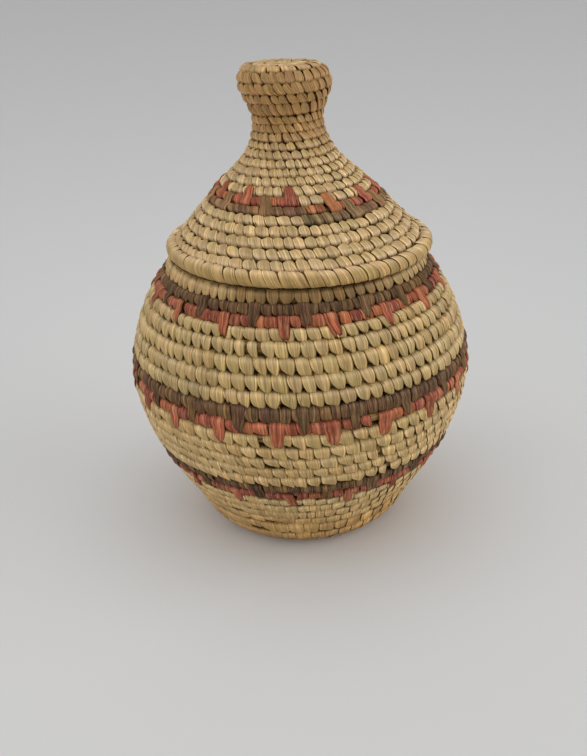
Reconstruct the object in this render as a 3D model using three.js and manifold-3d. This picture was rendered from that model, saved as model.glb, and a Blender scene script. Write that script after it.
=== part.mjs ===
// A small lidded basket, coiled from grass and sewn with natural, red and brown strands.
// Millimetres, +Z up, the foot stands on Z = 0 and the front of the basket faces -Y.
// A place round the basket is a turn: whole at the front, growing to the right (+X).
import * as THREE from 'three';
import { mergeVertices } from 'three/addons/utils/BufferGeometryUtils.js';
import Module from 'manifold-3d';

// Outside of the basket, over the crests of its rows
const FOOT_RADIUS = 22.0;
const HEEL_RADIUS = 25.9;
const HEEL_HEIGHT = 2.5;
const THIGH_RADIUS = 30.6;
const THIGH_HEIGHT = 11.0;
const HIP_RADIUS = 34.9;
const HIP_HEIGHT = 18.0;
const FLANK_RADIUS = 40.2;
const FLANK_HEIGHT = 30.0;
const BELLY_RADIUS = 42.3;
const BELLY_HEIGHT = 42.0;
const SHOULDER_RADIUS = 38.7;
const SHOULDER_HEIGHT = 57.0;
const MOUTH_RADIUS = 30.4;
const MOUTH_HEIGHT = 70.2;

// Outside of the lid, measured from the mouth of the basket upwards
const RIM_OVERHANG = 1.5;
const RIM_COIL = 3.5;
const SLOPE_RADIUS = 18.9;
const SLOPE_RISE = 15.1;
const THROAT_RADIUS = 10.4;
const THROAT_RISE = 24.0;
const NECK_RADIUS = 8.4;
const NECK_RISE = 30.5;
const KNOB_RADIUS = 10.7;
const KNOB_RISE = 38.6;
const CROWN_RADIUS = 8.8;
const CROWN_RISE = 42.0;

// The lid was shaped by hand: it sits a little to the right and its knob leans to the left
const LID_SHIFT = 0.6;
const KNOB_LEAN = -2.6;

// Layers of the wall from the outside in: sewn course, bundled grass, sewn lining
const COURSE = 0.9;
const BUNDLE = 1.8;
const LINING = 0.5;
const GAP = 0.3;
const ROW_GAP = 0.65;
const COURSE_BEVEL = 0.26;

// Rows of the basket from the foot up: how many in each stretch, and the height of one
const FOOT_ROWS = 7;
const FOOT_ROW = 3.75;
const LOWER_BAND_ROW = 3.0;
const LOWER_ROWS = 5;
const LOWER_ROW = 3.15;
const MIDDLE_BAND_ROW = 3.2;
const UPPER_ROWS = 5;
const UPPER_ROW = 3.45;
const UPPER_BAND_ROW = 2.7;
const MOUTH_ROW = 2.8;

// Rows of the lid from the rim up, and the azimuth in degrees where its colours change
const SKIRT_ROWS = 5;
const SKIRT_ROW = 2.52;
const LID_BAND_ROW = 2.35;
const SLOPE_ROWS = 6;
const SLOPE_ROW = 2.25;
const NECK_ROWS = 3;
const NECK_ROW = 1.8;
const KNOB_ROWS = 4;
const KNOB_ROW = 2.5;
const CROWN_ROWS = 3;
const CROWN_ROW = 2.9;
const CROWN_EYE = 1.2;
const LID_JOG = 3;

// The ring under the lid that drops into the mouth
const FLANGE_DROP = 5.6;
const FLANGE_THICKNESS = 3.0;
const FLANGE_CLEARANCE = 1.3;

// Long stitches that reach over the next row: width, thickness, and how many go round
const LONG_WIDTH = 2.1;
const LONG_THICKNESS = 0.45;
const LOWER_STITCHES = 18;
const MIDDLE_STITCHES = 21;
const UPPER_STITCHES = 17;
const LID_STITCHES = 12;

// Where the first long stitch of each band stands, in degrees from the front
const LOWER_RED_START = -3.8;
const LOWER_BROWN_START = 7.0;
const MIDDLE_RED_START = -8.0;
const MIDDLE_BROWN_START = 0.0;
const UPPER_RED_START = -6.0;
const UPPER_BROWN_START = 3.0;
const LID_RED_START = -6.0;
const LID_BROWN_START = -21.0;

// Fineness: steps in a turn of the basket, the lid and its knob, points along a wall, steps
// at which an outline is measured, the least share of a step between two sections, the step
// in which a height is looked for, and the distance below which two points are one
const BASKET_STEPS = 24;
const LID_STEPS = 20;
const KNOB_STEPS = 16;
const BUNDLE_POINTS = 10;
const LID_POINTS = 18;
const LINING_POINTS = 7;
const RIM_SIDES = 8;
const OUTLINE_STEPS = 400;
const SHORTEST_STEP = 0.2;
const SEARCH_STEP = 0.05;
const WELD_DISTANCE = 1e-5;

// Where the basket's bands start: the back. The coil of the lid starts after a short taper.
const BACK = 0.5;
const TAPER = 0.4;
const END_GAP = 0.4;
const END_MARGIN = 0.02;

const WALL = COURSE + GAP + BUNDLE + GAP + LINING;

const wasm = await Module();
wasm.setup();

// Materials
function grass(colour, roughness) {
  return new THREE.MeshStandardMaterial({ color: colour, roughness, metalness: 0 });
}
const STRAW = grass('#c2ab78', 0.75);
const BUNDLE_GRASS = grass('#a58a56', 0.85);
const RED = grass('#b05a48', 0.75);
const BROWN = grass('#6b5c46', 0.75);

const group = new THREE.Group();
group.name = 'lidded_coil_basket';

function add(name, geometry, material) {
  const mesh = new THREE.Mesh(geometry, material);
  mesh.name = name;
  group.add(mesh);
}

// The outlines, as smooth curves of radius (x) and height (z) over arc length
function outline(points) {
  const corners = points.map(([radius, height]) => new THREE.Vector3(radius, 0, height));
  const curve = new THREE.CatmullRomCurve3(corners, false, 'centripetal');
  curve.arcLengthDivisions = OUTLINE_STEPS;
  return curve;
}

const rimCentre = {
  radius: MOUTH_RADIUS + RIM_OVERHANG - RIM_COIL / 2,
  height: MOUTH_HEIGHT + GAP + RIM_COIL / 2,
};

const basketOutline = outline([
  [FOOT_RADIUS, 0],
  [HEEL_RADIUS, HEEL_HEIGHT],
  [THIGH_RADIUS, THIGH_HEIGHT],
  [HIP_RADIUS, HIP_HEIGHT],
  [FLANK_RADIUS, FLANK_HEIGHT],
  [BELLY_RADIUS, BELLY_HEIGHT],
  [SHOULDER_RADIUS, SHOULDER_HEIGHT],
  [MOUTH_RADIUS, MOUTH_HEIGHT],
]);

const lidOutline = outline([
  [rimCentre.radius - RIM_COIL / 4, rimCentre.height + RIM_COIL / 2 + GAP],
  [SLOPE_RADIUS, MOUTH_HEIGHT + SLOPE_RISE],
  [THROAT_RADIUS, MOUTH_HEIGHT + THROAT_RISE],
  [NECK_RADIUS, MOUTH_HEIGHT + NECK_RISE],
  [KNOB_RADIUS, MOUTH_HEIGHT + KNOB_RISE],
  [CROWN_RADIUS, MOUTH_HEIGHT + CROWN_RISE],
  [0, MOUTH_HEIGHT + CROWN_RISE],
]);

// The point of an outline at an arc length, moved inwards by a depth
function onWall(curve, along, depth) {
  const share = THREE.MathUtils.clamp(along / curve.getLength(), 0, 1);
  const point = curve.getPointAt(share);
  const run = curve.getTangentAt(share);
  return { radius: point.x - run.z * depth, height: point.z + run.x * depth };
}

// How far the lid's middle stands off the axis at a height
function lean(height) {
  const share = (height - rimCentre.height) / (MOUTH_HEIGHT + CROWN_RISE - rimCentre.height);
  return LID_SHIFT + KNOB_LEAN * THREE.MathUtils.clamp(share, 0, 1);
}

function upright() {
  return 0;
}

// Each wall has its outline, its sideways shift at a height and its fineness
const basket = { curve: basketOutline, shift: upright, steps: BASKET_STEPS };
const lid = { curve: lidOutline, shift: lean, steps: LID_STEPS };

// A closed body of revolution, its profile running up outside and down inside
function turned(profile, wall) {
  const points = profile.map(({ radius, height }) => new THREE.Vector2(radius, height));
  const geometry = new THREE.LatheGeometry(points, wall.steps).rotateX(Math.PI / 2);
  const place = geometry.attributes.position;
  for (let i = 0; i < place.count; i += 1) {
    place.setX(i, place.getX(i) + wall.shift(place.getZ(i)));
  }
  return geometry;
}

// A closed body through sections that have the same number of points
function loft(sections) {
  const sides = sections[0].length;
  const faces = [];
  for (let i = 0; i < sections.length - 1; i += 1) {
    for (let j = 0; j < sides; j += 1) {
      const k = (j + 1) % sides;
      const here = i * sides;
      faces.push(here + j, here + sides + j, here + k);
      faces.push(here + k, here + sides + j, here + sides + k);
    }
  }
  const last = (sections.length - 1) * sides;
  for (let j = 1; j < sides - 1; j += 1) {
    faces.push(0, j, j + 1);
    faces.push(last, last + j + 1, last + j);
  }
  const geometry = new THREE.BufferGeometry();
  const places = sections.flat().flatMap((point) => [point.x, point.y, point.z]);
  geometry.setAttribute('position', new THREE.Float32BufferAttribute(places, 3));
  geometry.setIndex(faces);
  geometry.computeVertexNormals();
  return geometry;
}

// A point of the real object: radius and height at a turn, leaned with the lid
function around({ radius, height }, turn, shift) {
  const angle = turn * 2 * Math.PI;
  return new THREE.Vector3(
    radius * Math.sin(angle) + shift(height),
    -radius * Math.cos(angle),
    height,
  );
}

// Arc length at the lower edge of each row, scaled so that the rows fill the wall
function rowEdges(heights, length) {
  const total = heights.reduce((sum, height) => sum + height, 0);
  const edges = [0];
  for (const height of heights) {
    edges.push(edges[edges.length - 1] + (height * length) / total);
  }
  return edges;
}

// The lower edge of the coil at a turn; one turn later it has risen by one row
function coilEdge(edges, turn) {
  const row = THREE.MathUtils.clamp(Math.floor(turn), 0, edges.length - 2);
  return edges[row] + (turn - row) * (edges[row + 1] - edges[row]);
}

// Turns at which the sections of a course stand: its two ends and the even steps between
function stations(from, to, steps) {
  const turns = [from];
  const last = to * steps - SHORTEST_STEP;
  for (let i = Math.ceil(from * steps + SHORTEST_STEP); i < last; i += 1) {
    turns.push(i / steps);
  }
  turns.push(to);
  return turns;
}

// Half the gap between two courses that meet end to end, in turns
function endTurn(wall, turn) {
  const { radius } = onWall(wall.curve, coilEdge(wall.edges, turn + 0.5), 0);
  return END_GAP / 2 / (2 * Math.PI * radius);
}

// The least distance between the sections of a course that lie one turn apart
let leastGap = Infinity;
function measureGap(turns, sections) {
  for (let i = 0; i < sections.length; i += 1) {
    for (let j = i + 1; j < sections.length; j += 1) {
      if (turns[j] - turns[i] < 0.9 || turns[j] - turns[i] > 1.1) continue;
      for (const a of sections[i]) {
        for (const b of sections[j]) leastGap = Math.min(leastGap, a.distanceTo(b));
      }
    }
  }
}

// One stretch of the sewn coil, as an unbroken tube wound on the bundle between two turns
function course(wall, from, to, steps = wall.steps) {
  const { curve, edges, shift } = wall;
  const turns = stations(from + endTurn(wall, from), to - endTurn(wall, to), steps);
  const sections = turns.map((turn) => {
    const bottom = Math.max(coilEdge(edges, turn), 0) + ROW_GAP / 2;
    const top = Math.min(coilEdge(edges, turn + 1), wall.end) - ROW_GAP / 2;
    const bevel = (top - bottom) * COURSE_BEVEL;
    const corners = [
      onWall(curve, bottom, COURSE),
      onWall(curve, bottom + bevel, 0),
      onWall(curve, top - bevel, 0),
      onWall(curve, top, COURSE),
    ];
    return corners.map((corner) => around(corner, turn, shift));
  });
  measureGap(turns, sections);
  return loft(sections);
}

// The long stitches of a one-row course, as solids that start inside it. Each is a ridge
// that climbs out of its own row and lies over the next one below (-1) or above (+1).
function longStitches(wall, row, reach, count, start, jog) {
  const { curve, edges, shift } = wall;
  const stitches = [];
  for (let i = 0; i < count; i += 1) {
    const place = THREE.MathUtils.euclideanModulo(start / 360 + i / count - jog, 1) + jog;
    if (Math.min(place - jog, jog + 1 - place) < END_MARGIN) continue;
    const turn = row + place;
    const own = [coilEdge(edges, turn), coilEdge(edges, turn + 1)];
    const far = reach < 0 ? coilEdge(edges, turn - 1) : coilEdge(edges, turn + 2);
    const near = reach < 0 ? own[0] : own[1];
    const path = [
      { along: (own[0] + own[1]) / 2, depth: COURSE / 2 },
      { along: near, depth: -GAP },
      { along: far - reach * ROW_GAP, depth: -GAP },
    ];
    if (reach < 0) path.reverse();
    const sections = path.map(({ along, depth }) => {
      const under = onWall(curve, along, depth);
      const ridge = onWall(curve, along, -GAP - LONG_THICKNESS);
      const half = LONG_WIDTH / 2 / (2 * Math.PI * under.radius);
      return [
        around(under, place + half, shift),
        around(ridge, place, shift),
        around(under, place - half, shift),
      ];
    });
    stitches.push(loft(sections));
  }
  return stitches;
}

// Solids for joining: a geometry as a manifold, and the union of several as a geometry
function solid(geometry) {
  const bare = geometry.clone();
  bare.deleteAttribute('normal');
  bare.deleteAttribute('uv');
  const welded = mergeVertices(bare, WELD_DISTANCE);
  const mesh = new wasm.Mesh({
    numProp: 3,
    vertProperties: new Float32Array(welded.attributes.position.array),
    triVerts: new Uint32Array(welded.index.array),
  });
  return new wasm.Manifold(mesh);
}

function joined(geometries) {
  const body = geometries.map(solid).reduce((whole, piece) => whole.add(piece));
  const { vertProperties, triVerts } = body.getMesh();
  const geometry = new THREE.BufferGeometry();
  geometry.setAttribute('position', new THREE.BufferAttribute(vertProperties, 3));
  geometry.setIndex(new THREE.BufferAttribute(triVerts, 1));
  geometry.computeVertexNormals();
  return geometry;
}

// Points of a layer's face, from one arc length to another
function face(curve, depth, from, to, count) {
  const points = [];
  for (let i = 0; i <= count; i += 1) {
    points.push(onWall(curve, from + ((to - from) * i) / count, depth));
  }
  return points;
}

// The arc length at which a face of the basket's wall has risen to a height
function riseTo(height, depth) {
  let low = 0;
  let high = basketOutline.getLength() / 2;
  for (let i = 0; i < 30; i += 1) {
    const middle = (low + high) / 2;
    if (onWall(basketOutline, middle, depth).height < height) low = middle;
    else high = middle;
  }
  return high;
}

// One face of a layer of the basket: a floor as deep as the wall, then the wall itself
function bowlFace(depth, top, count) {
  const heel = riseTo(depth, depth);
  return [{ radius: 0, height: depth }, ...face(basketOutline, depth, heel, top, count)];
}

function bowl(outerDepth, innerDepth, top, count) {
  return [...bowlFace(outerDepth, top, count), ...bowlFace(innerDepth, top, count).reverse()];
}

// Basket
const basketRows = [
  ...Array(FOOT_ROWS).fill(FOOT_ROW),
  LOWER_BAND_ROW,
  LOWER_BAND_ROW,
  ...Array(LOWER_ROWS).fill(LOWER_ROW),
  MIDDLE_BAND_ROW,
  MIDDLE_BAND_ROW,
  ...Array(UPPER_ROWS).fill(UPPER_ROW),
  UPPER_BAND_ROW,
  UPPER_BAND_ROW,
  MOUTH_ROW,
];
const basketLength = basketOutline.getLength();
basket.edges = rowEdges(basketRows, basketLength);
basket.end = basketLength;
const lowerRed = FOOT_ROWS;
const middleRed = lowerRed + 2 + LOWER_ROWS;
const upperRed = middleRed + 2 + UPPER_ROWS;
const mouthRow = upperRed + 2;

function basketCourse(firstRow, endRow) {
  return course(basket, firstRow - BACK, endRow - BACK);
}

function basketBand(row, count, start) {
  const stitches = longStitches(basket, row, -1, count, start, -BACK);
  return joined([basketCourse(row, row + 1), ...stitches]);
}

const edgeDepth = COURSE + GAP;
const bundleTop = basketLength - edgeDepth;
const basketBundle = bowl(edgeDepth, edgeDepth + BUNDLE, bundleTop, BUNDLE_POINTS);
const basketLining = bowl(WALL - LINING, WALL, bundleTop, BUNDLE_POINTS);
add('basket_bundle', turned(basketBundle, basket), BUNDLE_GRASS);
add('basket_lining', turned(basketLining, basket), STRAW);

const baseRadius = FOOT_RADIUS - COURSE - GAP;
const base = [
  { radius: 0, height: 0 },
  { radius: baseRadius, height: 0 },
  { radius: baseRadius, height: COURSE },
  { radius: 0, height: COURSE },
];
add('basket_base', turned(base, basket), STRAW);

add('basket_foot_course', basketCourse(0, lowerRed), STRAW);
add('basket_lower_red', basketBand(lowerRed, LOWER_STITCHES, LOWER_RED_START), RED);
add('basket_lower_brown', basketBand(lowerRed + 1, LOWER_STITCHES, LOWER_BROWN_START), BROWN);
add('basket_lower_course', basketCourse(lowerRed + 2, middleRed), STRAW);
add('basket_middle_red', basketBand(middleRed, MIDDLE_STITCHES, MIDDLE_RED_START), RED);
add('basket_middle_brown', basketBand(middleRed + 1, MIDDLE_STITCHES, MIDDLE_BROWN_START), BROWN);
add('basket_upper_course', basketCourse(middleRed + 2, upperRed), STRAW);
add('basket_upper_red', basketBand(upperRed, UPPER_STITCHES, UPPER_RED_START), RED);
add('basket_upper_brown', basketBand(upperRed + 1, UPPER_STITCHES, UPPER_BROWN_START), BROWN);
add('basket_mouth_course', basketCourse(mouthRow, mouthRow + 1), STRAW);

// The stitches that go over the edge of the mouth close the bundle; the lid rests on them
const edgeBottom = bundleTop + GAP;
const mouthBore = onWall(basketOutline, basketLength, WALL).radius;
const mouthEdge = [
  onWall(basketOutline, edgeBottom, edgeDepth),
  { radius: MOUTH_RADIUS - edgeDepth, height: MOUTH_HEIGHT },
  { radius: mouthBore + GAP, height: MOUTH_HEIGHT },
  onWall(basketOutline, edgeBottom, WALL),
];
add('basket_mouth_edge', turned([...mouthEdge, mouthEdge[0]], basket), STRAW);

// Lid
const lidRows = [
  ...Array(SKIRT_ROWS).fill(SKIRT_ROW),
  LID_BAND_ROW,
  LID_BAND_ROW,
  ...Array(SLOPE_ROWS).fill(SLOPE_ROW),
  ...Array(NECK_ROWS).fill(NECK_ROW),
  ...Array(KNOB_ROWS).fill(KNOB_ROW),
  ...Array(CROWN_ROWS).fill(CROWN_ROW),
];
const lidLength = lidOutline.getLength();
lid.edges = rowEdges(lidRows, lidLength);
lid.end = lidLength - CROWN_EYE;
const lidBrown = SKIRT_ROWS;
const lidRed = lidBrown + 1;
const slope = lidRed + 1;
const neck = slope + SLOPE_ROWS;
const knob = neck + NECK_ROWS;
const crown = knob + KNOB_ROWS;

// The bundle and the lining of the lid: cones to the throat, and the neck and knob solid
const throat = lid.edges[neck];
const ceiling = onWall(lidOutline, throat, edgeDepth + BUNDLE).height + BUNDLE;
const lidBundle = [
  { radius: 0, height: ceiling },
  ...face(lidOutline, edgeDepth + BUNDLE, 0, throat, LINING_POINTS).reverse(),
  ...face(lidOutline, edgeDepth, 0, lidLength, LID_POINTS),
];
const lidLining = [
  { radius: 0, height: ceiling - GAP - LINING },
  ...face(lidOutline, WALL, 0, throat, LINING_POINTS).reverse(),
  ...face(lidOutline, WALL - LINING, 0, throat, LINING_POINTS),
  { radius: 0, height: ceiling - GAP },
];
add('lid_bundle', turned(lidBundle, lid), BUNDLE_GRASS);
add('lid_lining', turned(lidLining, lid), STRAW);

// The thick coil at the edge of the lid, its ends meeting at the back
function rimCoil() {
  const inset = END_GAP / 2 / (2 * Math.PI * rimCentre.radius);
  const corner = RIM_COIL / 2 / Math.cos(Math.PI / RIM_SIDES);
  const sections = stations(inset - BACK, BACK - inset, LID_STEPS).map((turn) => {
    const ring = [];
    for (let i = 0; i < RIM_SIDES; i += 1) {
      const angle = ((i + 0.5) * 2 * Math.PI) / RIM_SIDES;
      const radius = rimCentre.radius + corner * Math.cos(angle);
      const height = rimCentre.height + corner * Math.sin(angle);
      ring.push(around({ radius, height }, turn, lean));
    }
    return ring;
  });
  return loft(sections);
}
add('lid_rim_coil', rimCoil(), STRAW);

// The ring that keeps the lid in the mouth, cut to the slope of the lining above it
const flangeOuter = mouthBore - FLANGE_CLEARANCE;
const flangeInner = flangeOuter - FLANGE_THICKNESS;
const flangeBottom = MOUTH_HEIGHT - FLANGE_DROP;

function ceilingAt(radius) {
  let along = 0;
  while (along < throat && onWall(lidOutline, along, WALL).radius > radius) along += SEARCH_STEP;
  return onWall(lidOutline, along, WALL).height;
}
const flange = [
  { radius: flangeOuter, height: flangeBottom },
  { radius: flangeOuter, height: ceilingAt(flangeOuter) - GAP },
  { radius: flangeInner, height: ceilingAt(flangeInner) - GAP },
  { radius: flangeInner, height: flangeBottom },
];
add('lid_flange_coil', turned([...flange, flange[0]], lid), STRAW);

// Seen just left of the jog a row has come all the way round, so it starts a turn earlier
const lidStart = LID_JOG / 360 - 1;

function lidCourse(firstRow, endRow, steps) {
  return course(lid, firstRow + lidStart, endRow + lidStart, steps);
}

function lidBand(row, start) {
  const stitches = longStitches(lid, row, 1, LID_STITCHES, start, lidStart);
  return joined([lidCourse(row, row + 1), ...stitches]);
}

add('lid_skirt_course', lidCourse(TAPER, lidBrown), STRAW);
add('lid_brown', lidBand(lidBrown, LID_BROWN_START), BROWN);
add('lid_red', lidBand(lidRed, LID_RED_START), RED);
add('lid_slope_course', lidCourse(slope, neck), STRAW);
add('lid_neck_course', lidCourse(neck, knob, KNOB_STEPS), STRAW);
add('lid_knob_course', lidCourse(knob, crown, KNOB_STEPS), STRAW);
add('lid_crown_course', lidCourse(crown, lidRows.length, KNOB_STEPS), STRAW);

console.log(`least gap of a course to itself: ${leastGap.toFixed(3)} mm`);

export default group;
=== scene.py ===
import math

import bpy
import numpy as np
from mathutils import Matrix


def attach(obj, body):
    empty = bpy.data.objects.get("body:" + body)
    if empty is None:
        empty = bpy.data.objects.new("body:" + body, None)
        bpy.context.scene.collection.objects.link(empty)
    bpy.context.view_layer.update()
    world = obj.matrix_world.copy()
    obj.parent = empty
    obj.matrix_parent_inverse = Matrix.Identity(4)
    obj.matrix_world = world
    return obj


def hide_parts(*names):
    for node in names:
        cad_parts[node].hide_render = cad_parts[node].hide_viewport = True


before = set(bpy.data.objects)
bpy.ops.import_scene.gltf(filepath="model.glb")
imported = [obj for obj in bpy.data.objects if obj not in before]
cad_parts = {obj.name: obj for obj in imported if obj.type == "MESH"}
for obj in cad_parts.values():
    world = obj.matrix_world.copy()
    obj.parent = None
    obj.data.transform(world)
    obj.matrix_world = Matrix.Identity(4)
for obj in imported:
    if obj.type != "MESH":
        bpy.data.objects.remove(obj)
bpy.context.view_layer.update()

# A small lidded basket, coiled from grass. Lengths are in millimetres until a mesh is made.
# A place round the basket is a turn: whole at the front, growing to the right. A place on a
# wall is the arc length along its profile, and the lift off the crests of its rows.
MM = 0.001
rng = np.random.default_rng(20)

# Outside of the basket, radius and height over the crests of its rows
BASKET_POINTS = [(22.0, 0.0), (25.9, 2.5), (30.6, 11.0), (34.9, 18.0), (40.2, 30.0),
                 (42.3, 42.0), (38.7, 57.0), (30.4, 70.2)]
MOUTH_RADIUS, MOUTH_HEIGHT = BASKET_POINTS[-1]

# The round edge of the mouth: its middle and half sizes, and where its stitches are counted
EDGE_RADIUS, EDGE_HEIGHT, EDGE_HALF_WIDTH, EDGE_HALF_HEIGHT = 28.6, 68.5, 1.75, 1.7
EDGE_STITCH_RADIUS = 28.8

# Outside of the lid, the coil at its edge, and where that coil's stitches end
LID_POINTS = [(29.275, 74.3), (18.9, 85.3), (10.25, 94.1), (8.2, 100.7), (10.7, 108.8),
              (8.8, 112.2), (0.0, 112.2)]
RIM_RADIUS, RIM_HEIGHT, RIM_HALF = 30.15, 72.25, 1.75
RIM_END = (28.92, 74.17)

# The lid sits a little to the right, and its knob leans to the left
LID_SHIFT, KNOB_LEAN = 0.6, -2.6
LID_TOP = LID_POINTS[-1][1]

# What stands on the floor is pressed flat this far above it
FLOOR_GAP = 0.02

# Thickness of the wall, the ring under the lid, and the face under the foot
WALL = 3.8
FLANGE_OUTER, FLANGE_INNER, FLANGE_BOTTOM, FLANGE_TOP = 25.3, 22.3, 64.6, 73.0
FLANGE_ROUND = 1.5
UNDER_RADIUS, UNDER_HEIGHT = 22.2, 0.12

# Arc length at the lower edge of each row at the front, as the rows of the real one vary
FOOT_EDGES = [0.0, 5.25, 8.95, 13.35, 16.55, 20.45, 23.65]
LOWER_EDGES = [26.15, 29.05, 32.15, 35.35, 38.25, 41.35, 44.45]
UPPER_EDGES = [47.85, 50.75, 54.25, 57.65, 61.35, 65.15, 68.65]
MOUTH_EDGES = [71.4, 74.05, 76.6, 79.1]
SKIRT_EDGES = [-0.99, 1.95, 4.63, 7.37, 10.07]
LID_BAND_EDGES = [12.57, 14.77]
SLOPE_EDGES = [17.27, 19.77, 22.17, 24.32, 26.47, 28.52]
KNOB_EDGES = [30.27, 32.07, 33.87, 35.4, 38.3, 40.45, 43.1]
CROWN_EDGES = [45.8, 48.75, 52.0, 55.0]

# Rows of the basket and the lid at which the colours change
LOWER_RED, MIDDLE_RED, UPPER_RED, MOUTH_ROW = 7, 14, 21, 23
LID_BROWN, LID_RED, SLOPE_ROW, NECK_ROW, KNOB_ROW, CROWN_ROW, LID_ROWS = 5, 6, 7, 13, 16, 20, 23

# The basket's rows begin at the back, and the lid's a little to the right of the front
BACK = 0.5
LID_START = 4 / 360 - 1

# Waves of the hand's unevenness: how many in a turn, phase and share. UNEVEN is what they add
# to the edge of a row.
WAVES = ((3.13, 1.0, 1.0), (7.71, 2.4, 1.0), (13.4, 0.0, 0.8))
HIGHEST_WAVE = 2.4
UNEVEN = 0.09

# Stitches in a turn, by row
BASKET_COUNTS = [50, 50, 50, 62, 77, 77, 77, 84, 84, 80, 80, 72, 86, 84, 92, 98,
                 79, 77, 73, 80, 80, 78, 74, 64]
LID_COUNTS = [60, 60, 60, 58, 56, 56, 52, 46, 43, 41, 38, 36, 33, 30, 28, 27,
              28, 30, 30, 28, 22, 13, 7]
RIM_COUNT = 63
FEWEST_STITCHES = 6

# Pairs of dyed rows on the basket: name, red row, width of the long stitches, level of the
# colour, and for the red row and the brown one over it where the long stitches stand at the
# front, in degrees, and how many go round
BASKET_BANDS = (
    ("lower", LOWER_RED, 2.7, 0.86,
     ([-45.8, -25.5, -3.8, 15.8, 35.3], 18), ([-38, -15.8, 7.5, 24.8, 45], 18)),
    ("middle", MIDDLE_RED, 2.7, 1.08,
     ([-59.3, -42.8, -25.8, -7.8, 8.7, 24.8, 43, 60], 21),
     ([-51.8, -35.7, -19.5, 0.3, 15.8, 33.3, 51.3], 21)),
    ("upper", UPPER_RED, 3.0, 0.99,
     ([-50.3, -27.3, -5.3, 12.8, 33.3, 53.7], 17),
     ([-62, -39.5, -17.3, 2.5, 24.8, 42.8, 61.8], 17)),
)

# Dyed rows of the lid: dye, row, long stitches as above, level of the colour, and what is fresh
# dye by the jog and how far it reaches, in turns
LID_BANDS = (
    ("brown", LID_BROWN, ([-52.5, -21.5, 35.3], 12), 1.75, (140, 119, 82), 0.16),
    ("red", LID_RED, ([-37.5, -4.9, 21.8, 53.3], 12), 1.08, (184, 118, 70), 0.14),
)
LID_LONG_WIDTH = 3.3

# A gap wider than SPLIT usual ones gets a stitch more, and one narrower than SKIP gets none.
# EVEN draws the stitches towards their usual distance. No stitch is wider than WIDEST.
SPLIT, SKIP, EVEN, WIDEST = 1.4, 0.66, 0.25, 1.7

# Shares of the height of a row: how far a root lies under the next row, and what a short stitch
# lacks
ROOT_UNDER = 0.06
SHORT_BY = 0.28

# A long stitch stands this far from a jog at least, and takes the place of plain ones that are
# nearer than this share of their width
CLEAR_OF_JOG = 0.008
CROWDED = 0.36

# Towards the middle of a coil stitches are laid out as if they stood this far from it
LEAST_RADIUS = 1.2

# Colours of the strands, as seen on the screen. A dye has a mean and what it varies to.
STRAW, STRAW_GOLD = (199, 168, 110), (180, 134, 66)
RED = [(170, 92, 63), (192, 114, 70), (162, 82, 66)]
BROWN = [(113, 85, 59), (142, 104, 62), (104, 73, 55)]
RED_WORN, BROWN_WORN = (206, 154, 110), (160, 130, 78)
BUNDLE = (160, 126, 76)

# Pale, rose, green and gold kinds of natural strand, each with its share of them, from and to
STRAW_KINDS = (((218, 194, 142), 0.0, 0.30), ((198, 160, 118), 0.30, 0.50),
               ((186, 166, 100), 0.50, 0.66), (STRAW_GOLD, 0.66, 0.78))

# Level of the lid's natural colours
LID_LEVEL = np.array([1.075, 1.01, 1.04])

# How golden and how light the lid's natural strands are at these turns of its coil
LID_AT = [10, 12, 13.5, 15, 19, 20.2, 23]
LID_GOLD = [-0.28, 0.05, 0.52, 0.66, 0.60, 0.30, 0.05]
LID_LIGHT = [1.0, 0.92, 0.90, 0.88, 0.86, 0.97, 1.04]

# Painted light is also paler, and painted shade more golden
PAINTED_LIGHT_HUE = np.array([0.85, 1.0, 1.85])

# A stitch gets a painted highlight over its own bundle: where, as a share of a row, how wide
# and how much. Its end gets painted shade, and so does its right side.
CREST_AT, CREST_WIDTH, CREST_PAINTED_HIGHLIGHT = 0.34, 0.11, 0.26
END_PAINTED_SHADE, SIDE_PAINTED_SHADE = 0.18, 0.04

# Shares of a stitch: where its end begins, where its corners stop to be low, where the painted
# shade at its tip begins; and a raised rib's place and width across it
END_FROM, CORNERS_TO, TIP_FROM = 0.45, 0.42, 0.84
RIB_AT, RIB_WIDTH = 0.76, 0.16

# How much of its cell in the map a stitch leaves free at each side
CELL_EDGE = 0.06

# Light: strength of the surround, the backdrop's grey, and the lamps by name, azimuth,
# elevation, strength and width
SURROUND = 0.42
BACKDROP = 0.455
LAMPS = [
    ("left_front", -66, 20, 0.88, 80),
    ("right_front", 77, 6, 1.96, 80),
    ("overhead", -160, 75, 0.80, 80),
]

# The floor in metres: half its size, its greys, painted lighter near the basket and darker far
# away, and the distance at which half of the change between them is done
FLOOR_HALF = 8.0
FLOOR_NEAR, FLOOR_FAR, FLOOR_FADE = 0.76, 0.445, 0.3

# The camera, with its angles in radians and its focal length in pixels of the picture
CAMERA_SIDE, CAMERA_BACK, CAMERA_HEIGHT = -1.87, 201.2, 132.3
CAMERA_DOWN, CAMERA_ROLL = 0.45137, 0.03272
FOCAL_PIXELS, PICTURE_HEIGHT, SENSOR = 856.4, 756, 36
CAMERA_NEAREST, CAMERA_FARTHEST = 0.01, 50

# How a stitch is shaped from its root (0) to its tip (1): lift in mm and half width as a
# share of its width. A petal comes out from under the next row, swells over its own bundle,
# narrows, and dips between the bundles to pierce the row before.
PETAL = dict(
    at=[0, 0.05, 0.1, 0.17, 0.25, 0.35, 0.48, 0.6, 0.7, 0.8, 0.9, 0.96, 1],
    lift=[-1.5, -1.15, -0.85, -0.5, -0.25, -0.08, 0.0, -0.03, -0.12, -0.26, -0.4, -0.52, -0.95],
    half=[0.38, 0.41, 0.445, 0.485, 0.51, 0.52, 0.515, 0.495, 0.465, 0.41, 0.33, 0.27, 0.19],
)
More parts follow.
